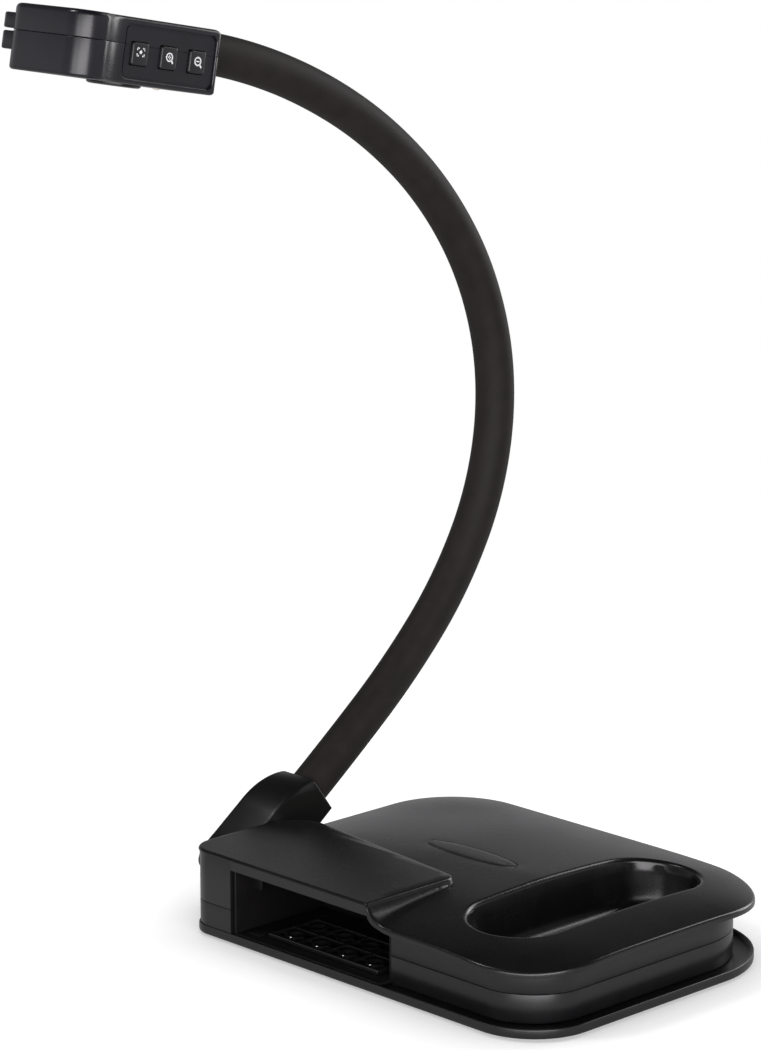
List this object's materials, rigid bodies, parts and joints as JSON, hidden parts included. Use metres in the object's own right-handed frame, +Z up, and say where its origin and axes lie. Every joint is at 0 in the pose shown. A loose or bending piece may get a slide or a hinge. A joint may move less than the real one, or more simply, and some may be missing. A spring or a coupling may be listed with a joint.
{
  "type": "document camera",
  "caption": "Document camera: a low weighted base with a storage bay and grip recess, a hinged arm block, a flexible gooseneck and a small camera head with push buttons.",
  "frame": {"origin": "middle of the base tray's flat underside, between the rubber feet, which reach 1.2 mm lower", "axes": "+X to the right along the base's long side, +Y to the back, away from the storage bay's mouth, +Z up; the gooseneck stands at the left side and the camera head looks down in front of it"},
  "size_m": [0.2755, 0.3038, 0.4461],
  "materials": {
    "casing": "satin black moulded plastic",
    "cover": "satin black moulded plastic with a soft sheen",
    "badge": "black plastic inlay, blank",
    "gloss_black": "gloss black plastic",
    "liner": "matte black moulded plastic",
    "sleeve": "matte warm black rubbery sleeve",
    "rubber": "matte black rubber",
    "steel": "plain zinc-plated steel",
    "board": "green circuit board with solder mask",
    "socket": "plated steel shell",
    "glass": "coated lens glass",
    "button": "satin black plastic with a white printed symbol",
    "lamp": "clear moulded lamp lens"
  },
  "bodies": {
    "base": {"bottom_tray": "casing", "foot_front_left": "rubber", "foot_front_right": "rubber", "foot_back_right": "rubber", "foot_back_left": "rubber", "tray_screw_1": "steel", "tray_screw_2": "steel", "tray_screw_3": "steel", "tray_screw_4": "steel", "lower_shell": "casing", "upper_shell": "casing", "top_cover": "cover", "badge": "badge", "bay_liner": "liner", "bay_grille": "liner", "ballast_plate": "steel", "main_board": "board", "usb_socket": "socket", "processor_can": "steel", "hinge_bracket": "steel", "hinge_pin": "steel", "hinge_nut": "steel"},
    "arm": {"arm_shell_left": "casing", "arm_shell_right": "casing", "arm_core": "steel", "friction_washer_inner": "steel", "friction_washer_outer": "steel", "neck_link_1": "sleeve"},
    "neck_2": {"neck_link_2": "sleeve"},
    "neck_3": {"neck_link_3": "sleeve"},
    "neck_4": {"neck_link_4": "sleeve"},
    "neck_5": {"neck_link_5": "sleeve"},
    "neck_6": {"neck_link_6": "sleeve"},
    "neck_7": {"neck_link_7": "sleeve"},
    "neck_8": {"neck_link_8": "sleeve"},
    "neck_9": {"neck_link_9": "sleeve"},
    "head": {"neck_link_10": "sleeve", "head_upper_shell": "casing", "head_lower_shell": "casing", "button_board": "board", "lens_ring": "gloss_black", "lens_barrel": "casing", "lens_glass": "glass", "sensor_board": "board", "lamp_led": "lamp", "lamp_board": "board"},
    "focus_button": {"focus_button": "button"},
    "zoom_in_button": {"zoom_in_button": "button"},
    "zoom_out_button": {"zoom_out_button": "button"}
  },
  "joints": [
    {"name": "arm_hinge", "type": "hinge", "parent": "base", "child": "arm", "pos_m": [-0.1275, -0.045, 0.02], "axis": [1, 0, 0], "range_deg": [-36, 0]},
    {"name": "neck_joint_1", "type": "hinge", "parent": "arm", "child": "neck_2", "pos_m": [-0.1275, 0.04298, 0.08036], "axis": [1, 0, 0], "range_deg": [-12, 12]},
    {"name": "neck_joint_2", "type": "hinge", "parent": "neck_2", "child": "neck_3", "pos_m": [-0.1275, 0.08244, 0.11627], "axis": [0, -0.723, 0.6909], "range_deg": [-12, 12]},
    {"name": "neck_joint_3", "type": "hinge", "parent": "neck_3", "child": "neck_4", "pos_m": [-0.1275, 0.11389, 0.15924], "axis": [1, 0, 0], "range_deg": [-12, 12]},
    {"name": "neck_joint_4", "type": "hinge", "parent": "neck_4", "child": "neck_5", "pos_m": [-0.1275, 0.13047, 0.20968], "axis": [0, -0.991, 0.134], "range_deg": [-12, 12]},
    {"name": "neck_joint_5", "type": "hinge", "parent": "neck_5", "child": "neck_6", "pos_m": [-0.1275, 0.12742, 0.26267], "axis": [1, 0, 0], "range_deg": [-12, 12]},
    {"name": "neck_joint_6", "type": "hinge", "parent": "neck_6", "child": "neck_7", "pos_m": [-0.1275, 0.10597, 0.3113], "axis": [0, -0.8358, -0.549], "range_deg": [-12, 12]},
    {"name": "neck_joint_7", "type": "hinge", "parent": "neck_7", "child": "neck_8", "pos_m": [-0.1275, 0.07118, 0.35161], "axis": [1, 0, 0], "range_deg": [-12, 12]},
    {"name": "neck_joint_8", "type": "hinge", "parent": "neck_8", "child": "neck_9", "pos_m": [-0.1275, 0.02789, 0.38271], "axis": [0, -0.4955, -0.8686], "range_deg": [-12, 12]},
    {"name": "neck_joint_9", "type": "hinge", "parent": "neck_9", "child": "head", "pos_m": [-0.1275, -0.02056, 0.405], "axis": [1, 0, 0], "range_deg": [-12, 12]},
    {"name": "focus_press", "type": "slide", "parent": "head", "child": "focus_button", "axis": [-1, 0, 0], "range_m": [0, 0.0009], "stiffness_N_per_m": 1500},
    {"name": "zoom_in_press", "type": "slide", "parent": "head", "child": "zoom_in_button", "axis": [-1, 0, 0], "range_m": [0, 0.0009], "stiffness_N_per_m": 1500},
    {"name": "zoom_out_press", "type": "slide", "parent": "head", "child": "zoom_out_button", "axis": [-1, 0, 0], "range_m": [0, 0.0009], "stiffness_N_per_m": 1500}
  ]
}
